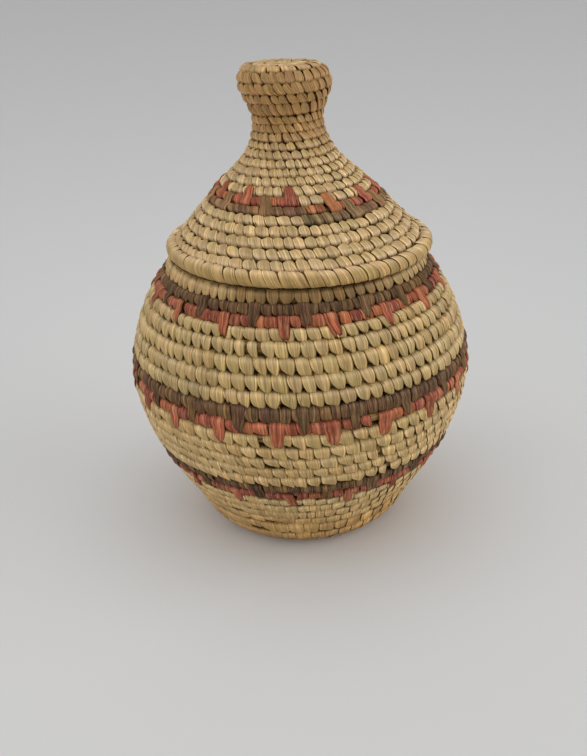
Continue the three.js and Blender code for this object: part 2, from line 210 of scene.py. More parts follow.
# A leaf is a petal with a long tip, where a coil is thin and round
LEAF = dict(
    at=[0, 0.1, 0.18, 0.25, 0.31, 0.38, 0.47, 0.57, 0.67, 0.77, 0.86, 0.94, 1],
    lift=[-1.2, -0.75, -0.42, -0.2, -0.1, -0.03, 0.0, -0.01, -0.06, -0.14, -0.24, -0.38, -0.8],
    half=[0.4, 0.42, 0.45, 0.48, 0.5, 0.515, 0.52, 0.505, 0.47, 0.41, 0.33, 0.24, 0.14],
)
# At the start of a coil the stitches meet over its middle
CENTRE = dict(
    at=[0, 0.1, 0.25, 0.5, 0.8, 1],
    lift=[-1.0, -0.45, -0.1, 0.0, -0.05, -0.22],
    half=[0.48, 0.5, 0.51, 0.51, 0.51, 0.5],
)
# A shingle stays wide to its end, which is cut across and lies on the row before
SHINGLE = dict(
    at=[0, 0.08, 0.17, 0.28, 0.4, 0.52, 0.66, 0.78, 0.88, 0.95, 1],
    lift=[-1.2, -0.75, -0.36, -0.12, 0.0, 0.02, -0.01, -0.06, -0.11, -0.2, -0.85],
    half=[0.48, 0.5, 0.51, 0.51, 0.51, 0.51, 0.505, 0.49, 0.465, 0.435, 0.39],
)
# A pad is flat and wide with round ends, and its tip goes down into a hole in the next row
PAD = dict(
    at=[0, 0.1, 0.17, 0.23, 0.28, 0.34, 0.42, 0.56, 0.68, 0.78, 0.87, 0.94, 1],
    lift=[-1.3, -0.8, -0.5, -0.3, -0.18, -0.08, 0.0, 0.0, -0.03, -0.1, -0.22, -0.42, -0.95],
    half=[0.42, 0.43, 0.44, 0.46, 0.485, 0.505, 0.52, 0.525, 0.52, 0.505, 0.465, 0.4, 0.28],
)
# A brick is a flatter shingle, where the rows are pressed together
BRICK = dict(
    at=[0, 0.08, 0.18, 0.3, 0.45, 0.6, 0.75, 0.88, 0.95, 1],
    lift=[-0.75, -0.4, -0.17, -0.05, 0.0, 0.0, -0.04, -0.1, -0.2, -0.7],
    half=[0.48, 0.5, 0.51, 0.51, 0.51, 0.51, 0.485, 0.42, 0.34, 0.24],
)
# A long stitch goes on over the row before
LONG = dict(
    at=[0, 0.06, 0.14, 0.24, 0.34, 0.42, 0.5, 0.6, 0.7, 0.8, 0.9, 0.96, 1],
    lift=[-1.0, -0.3, 0.18, 0.36, 0.3, 0.12, 0.06, 0.22, 0.34, 0.28, 0.05, -0.18, -0.85],
    half=[0.46, 0.5, 0.515, 0.515, 0.51, 0.505, 0.5, 0.495, 0.49, 0.47, 0.42, 0.36, 0.26],
)
# A splinter is a thin strand that has come loose from the side of a stitch
SPLINTER = dict(
    at=[0, 0.1, 0.5, 0.9, 1],
    lift=[-0.5, 0.0, 0.1, -0.05, -0.6],
    half=[0.3, 0.5, 0.5, 0.4, 0.2],
)
# At the mouth a stitch comes over the edge from the inside
MOUTH_STITCH = dict(
    at=[0, 0.2, 0.42, 0.54, 0.66, 0.78, 0.9, 1],
    lift=[0.0, 0.0, 0.0, -0.03, -0.12, -0.24, -0.42, -0.95],
    half=[0.51, 0.51, 0.51, 0.49, 0.43, 0.33, 0.23, 0.15],
)
EDGE_STITCH = dict(at=[0, 0.5, 1], lift=[0.0, 0.0, 0.0], half=[0.515, 0.515, 0.515])
# At the edge of the lid a stitch goes all round a thick coil, and its tip up into the first row
RIM_STITCH = dict(
    at=[0, 0.2, 0.45, 0.7, 0.79, 0.85, 0.9, 0.95, 1],
    lift=[-0.2, 0.0, 0.0, 0.0, 0.0, 0.02, 0.02, -0.08, -0.6],
    half=[0.51, 0.51, 0.51, 0.51, 0.505, 0.475, 0.42, 0.33, 0.2],
)


def linear(colour):
    """A screen colour from 0 to 255 as scene-linear numbers."""
    c = np.asarray(colour, float) / 255
    return np.where(c <= 0.04045, c / 12.92, ((c + 0.055) / 1.055) ** 2.4)


def smooth_curve(points, steps=60):
    """A centripetal curve through points, each segment in even steps."""
    p = np.asarray(points, float)
    p = np.vstack([2 * p[0] - p[1], p, 2 * p[-1] - p[-2]])
    found = []
    for i in range(1, len(p) - 2):
        a, b, c, d = p[i - 1:i + 3]
        d0, d1, d2 = (max(np.linalg.norm(q), 1e-9) ** 0.5 for q in (b - a, c - b, d - c))
        start = ((b - a) / d0 - (c - a) / (d0 + d1) + (c - b) / d1) * d1
        end = ((c - b) / d1 - (d - b) / (d1 + d2) + (d - c) / d2) * d1
        t = np.linspace(0, 1, steps, endpoint=False)[:, None]
        bend = (3 * c - 3 * b - 2 * start - end) * t ** 2 + (2 * b - 2 * c + start + end) * t ** 3
        found.append(b + start * t + bend)
    return np.vstack(found + [p[-2:-1]])


def arc(radius, height, half_width, half_height, first, last, steps=24):
    """Points of an oval round a middle, between two angles in degrees."""
    angle = np.radians(np.linspace(first, last, steps))
    return np.stack([radius + half_width * np.cos(angle), height + half_height * np.sin(angle)], 1)


def wobble(turn):
    """A slow unevenness of the hand along a coil, between about -1 and 1."""
    waves = (share * np.sin(2 * np.pi * count * turn + phase) for count, phase, share in WAVES)
    return sum(waves) / HIGHEST_WAVE


def lean(z):
    """How far to the right the lid stands at a height."""
    share = np.clip((z - RIM_HEIGHT) / (LID_TOP - RIM_HEIGHT), 0, 1)
    return LID_SHIFT + KNOB_LEAN * share


class Wall:
    """One face of a coiled wall: its profile, the edges of its rows, and its sideways shift.
    side is 1 if the face looks to the right of the way its profile runs, and -1 if to the left."""

    def __init__(self, profile, edges, side=1, shift=None, margin=3.0):
        p = np.asarray(profile, float)
        first, last = p[0] - p[1], p[-1] - p[-2]
        p = np.vstack([p[0] + first / np.linalg.norm(first) * margin, p,
                       p[-1] + last / np.linalg.norm(last) * margin])
        run = np.gradient(p, axis=0)
        run /= np.linalg.norm(run, axis=1)[:, None]
        self.s = np.concatenate([[0], np.cumsum(np.linalg.norm(np.diff(p, axis=0), axis=1))])
        self.s -= margin
        self.length = self.s[-1] - margin
        self.r, self.z = p.T
        self.nr, self.nz = side * run[:, 1], -side * run[:, 0]
        self.edges = np.asarray(edges, float)
        self.shift = shift or (lambda z: 0 * z)
        self.tips = None

    def edge(self, turn):
        """Arc length of the coil's lower edge at a turn; one turn later it has risen by a row."""
        turn = np.asarray(turn, float)
        rows = len(self.edges) - 1
        row = np.clip(np.floor(turn).astype(int), 0, rows - 1)
        rise = self.edges[row + 1] - self.edges[row]
        uneven = UNEVEN * wobble(turn) * np.clip(turn, 0, 1) * np.clip(rows - turn, 0, 1)
        return np.maximum(self.edges[row] + (turn - row) * rise + uneven, self.edges[0])

    def radius(self, along):
        return np.interp(along, self.s, self.r)

    def around(self, along, least=LEAST_RADIUS):
        """Length of one turn at an arc length."""
        return 2 * np.pi * np.maximum(self.radius(along), least)

    def inner_points(self, depth, last):
        """The profile of the face that lies depth behind this one, up to an arc length."""
        points = np.stack([self.r - self.nr * depth, self.z - self.nz * depth], 1)
        return points[(self.s >= 0) & (self.s <= last)]

    def place(self, turn, along, lift):
        """Points in space, at turns, arc lengths and lifts off the face."""
        turn, along, lift = np.broadcast_arrays(turn, along, lift)
        r = np.interp(along, self.s, self.r) + np.interp(along, self.s, self.nr) * lift
        z = np.interp(along, self.s, self.z) + np.interp(along, self.s, self.nz) * lift
        angle = 2 * np.pi * turn
        x, y = r * np.sin(angle) + self.shift(z), -r * np.cos(angle)
        return np.stack([x, y, np.maximum(z, FLOOR_GAP)], -1)

    def outward(self, turn, along):
        """Vectors that point off the face, at turns and arc lengths."""
        return self.place(turn, along, 1.0) - self.place(turn, along, 0.0)


class Strands:
    """Stitches that are gathered into one piece: points, and what the material reads."""

    def __init__(self):
        self.grids = []

    def add(self, tint, places, across, along, shade, outward, glow=1.0, seed=None, side=0.0,
            seam=0.0, fold=0.0):
        """places is stitches x along x across x 3. outward points off the face at each stitch.
        side runs from -1 to 1 across a stitch, seam paints shade on its edges and fold a highlight
        along them. glow is the painted highlight and shade that multiply its colour."""
        shape = n, rows, cols = places.shape[:3]
        if seed is None:
            seed = rng.uniform(0, 100, n)

        def listed(*values):
            return np.stack([np.broadcast_to(v, shape).ravel() for v in values], 1)

        glow = np.broadcast_to(glow, shape)[..., None] ** PAINTED_LIGHT_HUE
        tint = np.broadcast_to(tint, (n, 3))[:, None, None] * glow
        quads = grid_faces(rows, cols)
        middle = places[:, rows // 2, cols // 2]
        down = places[:, rows // 2 + 1, cols // 2] - middle
        right = places[:, rows // 2, cols // 2 + 1] - middle
        if np.sum(np.cross(down, right) * outward) < 0:
            quads = quads[:, ::-1]
        quads = (np.arange(n) * rows * cols)[:, None, None] + quads
        self.grids.append(dict(
            size=(n, rows, cols), points=places.reshape(-1, 3), quads=quads.reshape(-1, 4),
            tint=listed(*np.moveaxis(tint, -1, 0), 1.0), shade=listed(shade),
            strand=listed(across, along, seed[:, None, None]), edges=listed(side, seam, fold)))

    def build(self, name, material, body, node):
        """One mesh of all the stitches, on a body, in place of a solid of the frame."""
        columns = math.ceil(math.sqrt(sum(grid["size"][0] for grid in self.grids)))
        corners, uvs = [], []
        points = cell = 0
        for grid in self.grids:
            corners.append(grid["quads"] + points)
            uvs.append(atlas(*grid["size"], cell, columns))
            points += len(grid["points"])
            cell += grid["size"][0]
        corners = np.vstack(corners)

        def joined(key):
            return np.vstack([grid[key] for grid in self.grids])

        mesh = bpy.data.meshes.new(name)
        fill_mesh(mesh, joined("points") * MM, corners)
        for key, kind, field in (("tint", "FLOAT_COLOR", "color"), ("shade", "FLOAT", "value"),
                                 ("strand", "FLOAT_VECTOR", "vector"),
                                 ("edges", "FLOAT_VECTOR", "vector")):
            attribute = mesh.attributes.new(key, kind, "POINT")
            attribute.data.foreach_set(field, joined(key).astype(np.float32).ravel())
        layer = mesh.uv_layers.new(name="OFBake")
        corner_uvs = np.vstack(uvs)[corners.ravel()]
        layer.uv.foreach_set("vector", corner_uvs.astype(np.float32).ravel())
        mesh.materials.append(material)
        piece = bpy.data.objects.new(name, mesh)
        bpy.context.scene.collection.objects.link(piece)
        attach(piece, body)
        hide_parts(node)


def grid_faces(rows, cols):
    """Corners of the four-sided faces of a grid of points."""
    i, j = np.meshgrid(np.arange(rows - 1), np.arange(cols - 1), indexing="ij")
    a = (i * cols + j).ravel()
    return np.stack([a, a + cols, a + cols + 1, a + 1], 1)


def atlas(n, rows, cols, first, columns):
    """Each stitch in its own cell of a square map."""
    cell = np.arange(first, first + n)
    x, y = cell % columns, cell // columns
    u = np.linspace(CELL_EDGE, 1 - CELL_EDGE, cols)[None, None, :] + x[:, None, None]
    v = np.linspace(CELL_EDGE, 1 - CELL_EDGE, rows)[None, :, None] + y[:, None, None]
    u, v = np.broadcast_arrays(u, v)
    return np.stack([u, v], -1).reshape(-1, 2) / columns


def fill_mesh(mesh, points, corners):
    """Smooth four-sided faces on points."""
    mesh.vertices.add(len(points))
    mesh.vertices.foreach_set("co", points.astype(np.float32).ravel())
    mesh.loops.add(corners.size)
    mesh.loops.foreach_set("vertex_index", corners.astype(np.int32).ravel())
    mesh.polygons.add(len(corners))
    mesh.polygons.foreach_set("loop_start", np.arange(0, corners.size, 4, dtype=np.int32))
    mesh.polygons.foreach_set("use_smooth", np.ones(len(corners), bool))
    mesh.update(calc_edges=True)


# Where stitches stand
def turns_round(counts, start, upward):
    """Turns of the tips of the stitches, row after row. Each tip goes into the valley between
    two stitches of the row before, so that the rows interlock, with a stitch more or less
    where the rows grow wider or narrower. The coil is worked up the basket or down the lid."""
    way = 1 if upward else -1
    top = start + len(counts)
    began, ended = (start, top) if upward else (top, start)

    def pitch(turn):
        row = np.clip(int(math.floor(turn - start)), 0, len(counts) - 1)
        return 1 / counts[row]

    tips = [began + way * 0.5 * pitch(began - way * 1e-6)]
    while abs(tips[-1] - tips[0]) < 1:
        tips.append(tips[-1] + way * pitch(tips[-1]) * rng.uniform(0.8, 1.2))
    i = 0
    while (ended - tips[-1]) * way > 0:
        valley = (tips[i] + tips[i + 1]) / 2 + way
        step = (valley - tips[-1]) * way
        usual = pitch(tips[-1])
        i += 1
        if step < SKIP * usual:
            continue
        if step > SPLIT * usual:
            tips.append(tips[-1] + way * step / 2)
        else:
            valley += EVEN * (tips[-1] + way * usual - valley)
        tips.append(valley + rng.normal(0, 0.07) * usual)
    tips = np.array(tips)
    return np.sort(tips[(ended - tips) * way > 0])


def spread(azimuths, count, row, jog):
    """Turns of long stitches in a row: those at the front, and evenly spaced ones behind."""
    front = sorted(a / 360 for a in azimuths)
    gap = 1 - (front[-1] - front[0])
    more = count - len(front)
    behind = [front[-1] + gap * (i + 1) / (more + 1) for i in range(more)]
    places = [(a - jog) % 1 + jog for a in front + behind]
    return np.array(sorted(row + a for a in places if min(a - jog, jog + 1 - a) > CLEAR_OF_JOG))


def without(turns, long_turns, width_turns):
    """Plain stitches, less those where a long one stands."""
    near = np.abs(turns[:, None] - long_turns[None]).min(1)
    return turns[near > CROWDED * width_turns]


def local_pitch(turns, reach=4):
    """The usual distance between neighbours round each stitch, in turns."""
    steps = np.diff(turns, append=2 * turns[-1] - turns[-2])
    wide = np.pad(steps, reach, mode="edge")
    near = [wide[i:i + len(steps)] for i in range(2 * reach + 1)]
    return np.median(np.stack(near), axis=0)


def shares(turns):
    """Each stitch's stretch of the coil, from half way to its left neighbour to half way to its
    right one: the usual width there, how wide it is, and how far its middle stands to the left
    of its tip, in turns."""
    pitch = local_pitch(turns)
    before = np.minimum(np.diff(turns, prepend=turns[0] - pitch[0]), WIDEST * pitch)
    after = np.minimum(np.diff(turns, append=turns[-1] + pitch[-1]), WIDEST * pitch)
    return pitch, (before + after) / 2, (before - after) / 4


# Colours of strands
def straw_tints(n, gold=0.0, level=1.0):
    """Colours of natural strands: gold makes them more golden, and below 0 paler."""
    mix = rng.random(n)
    base = np.tile(linear(STRAW), (n, 1))
    for colour, low, high in STRAW_KINDS:
        chosen = (mix >= low) & (mix < high)
        amount = rng.uniform(0.05, 0.30, n)[:, None] * chosen[:, None]
        base = base * (1 - amount) + linear(colour) * amount
    gold = (gold + 0 * mix)[:, None]
    base = base * (1 - gold + gold * linear(STRAW_GOLD) / linear(STRAW))
    return base * rng.uniform(0.94, 1.05, n)[:, None] * level


def dyed_tints(n, dye):
    """Colours of dyed strands: the dye took unevenly."""
    base = np.tile(linear(dye[0]), (n, 1))
    for other in dye[1:]:
        amount = (rng.random(n) < 0.45) * rng.uniform(0.2, 0.9, n)
        base = base * (1 - amount[:, None]) + linear(other) * amount[:, None]
    return base * rng.uniform(0.82, 1.12, n)[:, None]


def fallen(turns):
    """How golden the basket's strands are: more so low on it, up to a height of about 28."""
    return np.clip((28 - basket.edge(turns)) / 30, 0, 0.9)


def lid_tints(turns):
    """Colours of the lid's natural strands, more golden and darker towards the knob."""
    level = np.interp(turns, LID_AT, LID_LIGHT)[:, None]
    return straw_tints(len(turns), np.interp(turns, LID_AT, LID_GOLD), LID_LEVEL * level)


def newly_dyed(turns, row, dye, level, fresh, reach):
    """The strand was fresher where the row begins: at the jog, and for a way to its right."""
    base = level * dyed_tints(len(turns), dye)
    share = np.clip(1 - (turns - row - LID_START) / reach, 0, 1)[:, None]
    new = linear(fresh) * rng.uniform(0.85, 1.1, len(turns))[:, None]
    return base * (1 - share) + new * share


# Stitches
def pads(wall, turn, root, tip, width, shape, fineness=(13, 13), lead=0.0, aside=0.0, puff=0.28,
         edge=8, relief=1.0, tilt=0.1, cut=0.0, end=1.0, rib=0.05, dome=0.0, arch=0.0, dark=1.0,
         foot_dark=1.0, seam=1.0, fold=1.0, spans=1):
    """Stitches as patches. turn is each one's tip, root and tip its arc lengths, width in mm.
    lead is how far in mm the root stands to the left of the tip, and aside how far the broad
    part does. puff drops the sides, the more sharply the higher edge is. tilt tucks the right
    side under the next stitch, cut slants the end, arch rounds it, rib raises the sides and
    dome lowers the corners of the root. spans is how many rows it goes over."""
    rows, cols = fineness
    n = len(turn)
    # Points stand closer at both ends, in the middle and at the sides
    q = np.linspace(0, 1, rows)
    q = q - 0.10 * np.sin(4 * np.pi * q) / (2 * np.pi)
    p = np.linspace(-1, 1, cols)
    p = np.sign(p) * np.abs(p) ** 0.8
    lead, aside, relief, tilt, cut, end, rib = (
        (v * np.ones(n))[:, None] for v in (lead, aside, relief, tilt, cut, end, rib))
    late = np.clip((q - END_FROM) / (1 - END_FROM), 0, 1)
    half = np.interp(q, shape["at"], shape["half"]) * (1 + (end - 1) * late ** 1.5) * width[:, None]
    middle = -lead * (1 - q) - aside * (1 - late ** 1.3)
    x = middle[:, :, None] + half[:, :, None] * p
    reach = (tip - root)[:, None]
    along = (root[:, None] + reach * q)[:, :, None] + (cut * reach * late ** 2)[:, :, None] * p
    along = along - (arch * reach * late ** 3)[:, :, None] * p ** 2
    body = (np.sin(np.pi * q) ** 0.5)[:, None]
    top = np.clip(1 - q / CORNERS_TO, 0, 1)[:, None]
    narrow = np.clip(half / (0.5 * width[:, None]), 0.3, 1.1)[:, :, None] ** 0.5
    high = (np.interp(q, shape["at"], shape["lift"]) * relief)[:, :, None]
    high = high - puff * narrow * np.abs(p) ** edge - dome * top * p ** 2
    high = high + rib[:, :, None] * body * np.exp(-((np.abs(p) - RIB_AT) / RIB_WIDTH) ** 2)
    high = high - tilt[:, :, None] * body * p
    turns = turn[:, None, None] + x / wall.around(along)
    # Painted shade at the root and under the end, and painted light: a highlight over the crest,
    # shade at the end and on the right side
    rise = spans * q[:, None]
    foot = 1 - np.clip((rise - 0.12 - 0.08 * p ** 2) / 0.13, 0, 1) ** 0.8
    close = np.clip((q[:, None] - TIP_FROM) / (1 - TIP_FROM), 0, 1) ** 1.6
    shade = 1 - (1 - foot_dark * foot) * (1 - 0.7 * close)
    glow = 1.0 + CREST_PAINTED_HIGHLIGHT * np.exp(-((rise - CREST_AT) / CREST_WIDTH) ** 2)
    glow = glow - END_PAINTED_SHADE * np.clip(q[:, None] - 0.5, 0, 1) - SIDE_PAINTED_SHADE * p
    return dict(places=wall.place(turns, along, high), across=p * 0.5 * width[:, None, None],
                along=(np.abs(reach) * q)[:, :, None], shade=dark * shade[None],
                outward=wall.outward(turn, (root + tip) / 2), glow=glow[None], side=p,
                seam=seam, fold=fold)


def stitch(wall, strands, turns, tips_up, tint, bite=0.26, shape=PETAL, gaps=0.03, slant=0.2,
           cut=0.06, end=(0.7, 1.5), dome=0.45, splinters=0.3, stray=0.02, short=0.0,
           long_turns=(), **how):
    """Plain stitches of natural or dyed strand on the coil of a wall. Each fills its stretch
    of the coil, up to its neighbours, the long ones among them. bite is how far it goes into
    the next row, gaps the share of them that leave one, stray how much their slants differ,
    and short the share of them that end before they reach the next row."""
    low, high = wall.edge(turns), wall.edge(turns + 1)
    height = high - low
    n = len(turns)
    reach = height * (bite + rng.normal(0, 0.035, n) - SHORT_BY * (rng.random(n) < short))
    if tips_up:
        root, tip = low - ROOT_UNDER * height, high + reach
    else:
        root, tip = high + ROOT_UNDER * height, low - reach
    around = wall.around((root + tip) / 2)
    others = turns
    if wall.tips is not None:
        others = wall.tips[(wall.tips < turns[0]) | (wall.tips > turns[-1])]
    among = np.unique(np.concatenate([turns, others, long_turns]))
    pitch, wide, aside = (v[np.searchsorted(among, turns)] for v in shares(among))
    loose = np.where(rng.random(n) < gaps, rng.uniform(0.2, 0.35, n), 0.0)
    aside = aside + loose * wide / 2
    wide = wide * (1 - loose)
    way = -1 if tips_up else 1
    slants = slant * (1 + 0.3 * np.sin(2 * np.pi * 2.3 * turns)) + rng.normal(0, stray, n)
    lead = way * slants * pitch * around
    cut = cut + rng.normal(0, 0.05, n)
    tilt = rng.normal(0.12, 0.05, n)
    strands.add(tint, **pads(
        wall, turns, root, tip, wide * around, shape, lead=lead, aside=aside * around, cut=cut,
        relief=rng.uniform(0.92, 1.08, n), end=rng.uniform(*end, n), tilt=tilt, dome=dome, **how))
    some = (rng.random(n) < splinters) & (wide > 0.8 * pitch)
    some &= (turns > turns[0] + 1.5 * pitch) & (turns < turns[-1] - 1.5 * pitch)
    if some.any():
        split_off(wall, strands, turns[some], root[some], tip[some], (wide * around)[some],
                  (aside * around)[some], around[some], lead[some], tint[some])


def split_off(wall, strands, turns, root, tip, width, aside, around, lead, tint):
    """A splinter along one side of each of these stitches."""
    k = len(turns)
    place = rng.choice([-0.44, -0.30, 0.22, 0.40], k) + rng.normal(0, 0.04, k)
    toward = place * width
    thin = pads(
        wall, turns + (toward * 0.55 - aside * 0.5) / around, root + 0.16 * (tip - root),
        tip - rng.uniform(0.0, 0.25, k) * (tip - root), rng.uniform(0.32, 0.55, k), SPLINTER,
        fineness=(9, 5), lead=lead - 0.5 * toward + rng.normal(0, 0.12, k), puff=0.16, edge=3,
        tilt=rng.normal(0, 0.04, k), rib=0, foot_dark=0.5, seam=0.8, fold=0)
    strands.add(tint * rng.uniform(0.95, 1.3, k)[:, None], **thin)


def stitch_long(wall, strands, turns, plain, tips_up, tint, width, slant, puff=0.4):
    """Long stitches that reach over the row before. At the root they are as wide as the plain
    ones beside them leave room for, and they narrow by the width given, in mm."""
    n = len(turns)
    own_low, own_high = wall.edge(turns), wall.edge(turns + 1)
    if tips_up:
        far = wall.edge(turns + 2)
        root, tip = own_low - 0.35, far + 0.22 * (far - own_high)
    else:
        far = wall.edge(turns - 1)
        root, tip = own_high + 0.2, far - 0.14 * (own_low - far)
    way = -1 if tips_up else 1
    among = np.unique(np.concatenate([plain, turns]))
    _, share, aside = (v[np.searchsorted(among, turns)] for v in shares(among))
    around = wall.around((own_low + own_high) / 2)
    wide = np.maximum(share * around, 0.85 * width)
    strands.add(tint, **pads(
        wall, turns, root, tip, wide, LONG, fineness=(19, 11), aside=aside * around, puff=puff,
        lead=way * (slant + rng.normal(0, 0.14, n)) * width, edge=5,
        tilt=rng.normal(0, 0.06, n), cut=rng.normal(0.02, 0.03, n),
        end=0.77 * width / wide * rng.uniform(0.85, 1.15, n), spans=2))


def middle_of_coil(wall, strands, turns, end, gold):
    """The first turn of a coil: stitches whose tips meet over its middle."""
    n = len(turns)
    root = wall.edge(turns) - 0.15
    around = wall.around((root + end) / 2, 0.8)
    _, wide, aside = shares(turns)
    tint = straw_tints(n, gold)
    strands.add(tint, **pads(
        wall, turns, root, end + rng.uniform(-0.2, 0.2, n), wide * around * 1.1, CENTRE,
        lead=-0.1 * around / n, aside=aside * around, relief=rng.uniform(0.5, 1.5, n), puff=0.25,
        tilt=0.08))


# The bundle inside the coil
def lay_grass(wall, strands, turn, along, lift, shade, radius, span, seeds):
    """Grasses that run round the basket, on a grid of turns and arc lengths and in stretches
    of span steps. radius is where their length is counted."""
    places = wall.place(turn[:, None], along, lift)
    last = len(turn) - 1
    for a in range(0, last, span):
        b = min(a + span, last)
        if b - a < 2:
            continue
        across = along[a:b + 1] - along[a:b + 1, :1]
        distance = turn[a:b + 1] * 2 * np.pi * radius
        middle = np.array([(a + b) // 2])
        outward = wall.outward(turn[middle], along[middle, along.shape[1] // 2])
        strands.add(linear(BUNDLE), places[None, a:b + 1], across[None], distance[None, :, None],
                    shade, outward, seed=seeds[a:a + 1])


def bundle_strip(wall, strands, first, last, lift, steps=110, points=11, deep=1.0, dark=0.1):
    """The bundle under the stitches: a swept coil. deep is how far its edges drop, dark the
    painted shade along its crest, and its edges get the darkest painted shade."""
    turn = np.linspace(first, last, max(int((last - first) * steps), 8))
    u = np.linspace(0, 1, points)
    from_crest = np.abs(2 * u - 1)
    low, high = wall.edge(turn), wall.edge(turn + 1)
    along = low[:, None] + (high - low)[:, None] * u
    # Every second line of points stands higher, as the grasses do
    lifts = lift - deep * from_crest ** 3 + 0.05 * np.cos(np.pi * np.arange(points))
    shade = dark + (1 - dark) * from_crest ** 1.5
    lay_grass(wall, strands, turn, along, lifts, shade, MOUTH_RADIUS, 12, np.floor(turn) * 3.7)


def skin(wall, strands, lift, steps=120, points=25):
    """The foundation under a ring of stitches, all round and from edge to edge."""
    turn = np.linspace(-BACK, 1 - BACK, steps + 1)
    along = np.tile(np.linspace(0, wall.length, points), (steps + 1, 1))
    # The foundation is in an even painted shade
    lay_grass(wall, strands, turn, along, lift, 0.7, RIM_RADIUS, 20, np.full(steps + 1, 1.7))


# Materials
def add_node(tree, kind, inputs=None, **settings):
    """A shader node, with each input set to a value or joined to a socket."""
    made = tree.nodes.new("ShaderNode" + kind)
    for name, value in settings.items():
        setattr(made, name, value)
    for name, value in (inputs or {}).items():
        if isinstance(value, bpy.types.NodeSocket):
            tree.links.new(value, made.inputs[name])
        else:
            made.inputs[name].default_value = value
    return made


def maths(tree, first, second, how="ADD"):
    return add_node(tree, "Math", {0: first, 1: second}, operation=how).outputs[0]


def strand_material(name, roughness, specular, lines, bump, worn_colour=None, worn_amount=0.0):
    """A flat strand with fibres along it. Its colour, the places of its fibres and its painted
    shade come with the mesh; it paints highlights on its folded edges and shade in its seams
    and cracks. How deep its cracks are, and how much of its colour is left in that painted
    shade, from none to all, differs from strand to strand."""
    material = bpy.data.materials.new(name)
    material.use_nodes = True
    tree = material.node_tree
    tree.nodes.clear()
    out = add_node(tree, "OutputMaterial")
    shader = add_node(tree, "BsdfPrincipled")
    tree.links.new(shader.outputs[0], out.inputs[0])

    def read(attribute, output):
        return add_node(tree, "Attribute", attribute_name=attribute).outputs[output]

    def streaks(across, along, detail=1.0):
        scaled = add_node(tree, "VectorMath", {0: strand, 1: (across, along, 1.7)},
                          operation="MULTIPLY").outputs[0]
        return add_node(tree, "TexNoise", {"Vector": scaled, "Scale": 1.0, "Detail": detail,
                                           "Roughness": 0.6}).outputs[0]

    def times(colour, value):
        return add_node(tree, "VectorMath", {0: colour, "Scale": value},
                        operation="SCALE").outputs[0]

    def mixed(share, first, second):
        return add_node(tree, "Mix", {0: share, 6: first, 7: second}, data_type="RGBA").outputs[2]

    def sums(first, second, how="ADD"):
        return maths(tree, first, second, how)

    def ramp(value, start, stop, low=0.0, high=1.0):
        return add_node(tree, "MapRange", {"Value": value, "From Min": start, "From Max": stop,
                                           "To Min": low, "To Max": high}).outputs[0]

    def stripe(value, middle, width):
        away = sums(sums(value, middle, "SUBTRACT"), 0.0, "ABSOLUTE")
        return ramp(away, 0.25 * width, width, 1.0, 0.0)

    def chance(factor):
        return add_node(tree, "TexWhiteNoise", {"W": sums(seed, factor, "MULTIPLY")},
                        noise_dimensions="1D").outputs["Value"]

    tint, shade = read("tint", "Color"), read("shade", "Fac")
    strand, edges = read("strand", "Vector"), read("edges", "Vector")
    seed = add_node(tree, "SeparateXYZ", {0: strand}).outputs["Z"]
    side, seam, fold = add_node(tree, "SeparateXYZ", {0: edges}).outputs
    fine, broad, patch = streaks(4.6, 0.14), streaks(2.3, 0.12), streaks(0.35, 0.25)
    bright = sums(ramp(broad, 0.35, 0.72), 2.0, "POWER")
    line = ramp(bright, 0.0, 1.0, 1 - lines, 1 + 1.5 * lines)
    colour = times(times(tint, line), ramp(fine, 0.36, 0.64, 1 - lines, 1 + 0.8 * lines))
    colour = times(colour, ramp(patch, 0.3, 0.7, 0.93, 1.07))
    # A strand is often two or three blades side by side, each a little lighter or darker
    cracks, steps = 0.0, 0.0
    for factor in (1.37, 2.91):
        place = sums(sums(side, ramp(chance(factor), 0.0, 1.0, -0.75, 0.75)),
                     ramp(patch, 0.3, 0.7, -0.25, 0.25))
        past = ramp(place, -0.04, 0.04)
        depth = ramp(chance(factor + 4.1), 0.35, 0.8)
        # A crack between blades is a line of painted shade, and a groove in the bump
        crack = sums(stripe(place, 0.0, 0.09), depth, "MULTIPLY")
        other = sums(past, ramp(chance(factor + 7.7), 0.0, 1.0, -0.13, 0.13), "MULTIPLY")
        colour = times(colour, sums(other, 1.0))
        cracks = sums(cracks, crack, "MAXIMUM")
        steps = sums(steps, other)
    # Painted highlights on its folded edges, and painted shade in its seams and cracks
    right_fold = sums(stripe(side, 0.72, 0.10), 0.5, "MULTIPLY")
    fold_highlights = sums(sums(stripe(side, -0.84, 0.12), right_fold), fold, "MULTIPLY")
    colour = times(colour, sums(sums(fold_highlights, 0.30, "MULTIPLY"), 1.0))
    left_seam, right_seam = ramp(side, -0.90, -1.0, 0.0, 0.85), ramp(side, 0.82, 0.98)
    seam_shade = sums(sums(right_seam, left_seam, "MAXIMUM"), sums(cracks, 0.45, "MULTIPLY"), "MAXIMUM")
    if worn_colour is not None:
        worn = ramp(streaks(1.9, 0.3, 2.0), 0.50, 0.70, 0.0, worn_amount)
        colour = mixed(worn, colour, (*linear(worn_colour), 1))
    painted_shade = sums(shade, sums(seam_shade, seam, "MULTIPLY"), "MAXIMUM")
    # What is left of its colour in the painted shade goes by the depth of its second crack
    colour = mixed(painted_shade, colour, times(colour, depth))
    tree.links.new(colour, shader.inputs["Base Color"])
    tree.links.new(ramp(fine, 0.3, 0.7, roughness + 0.1, roughness - 0.1),
                   shader.inputs["Roughness"])
    tree.links.new(ramp(painted_shade, 0.0, 1.0, specular, 0.0), shader.inputs["Specular IOR Level"])
    raised = sums(sums(steps, 2.0, "MULTIPLY"), sums(fold_highlights, 0.4, "MULTIPLY"))
    height = sums(sums(sums(fine, broad), raised), cracks, "SUBTRACT")
    bumped = add_node(tree, "Bump", {"Height": height, "Strength": bump, "Distance": 0.18 * MM})
    tree.links.new(bumped.outputs[0], shader.inputs["Normal"])
    return material


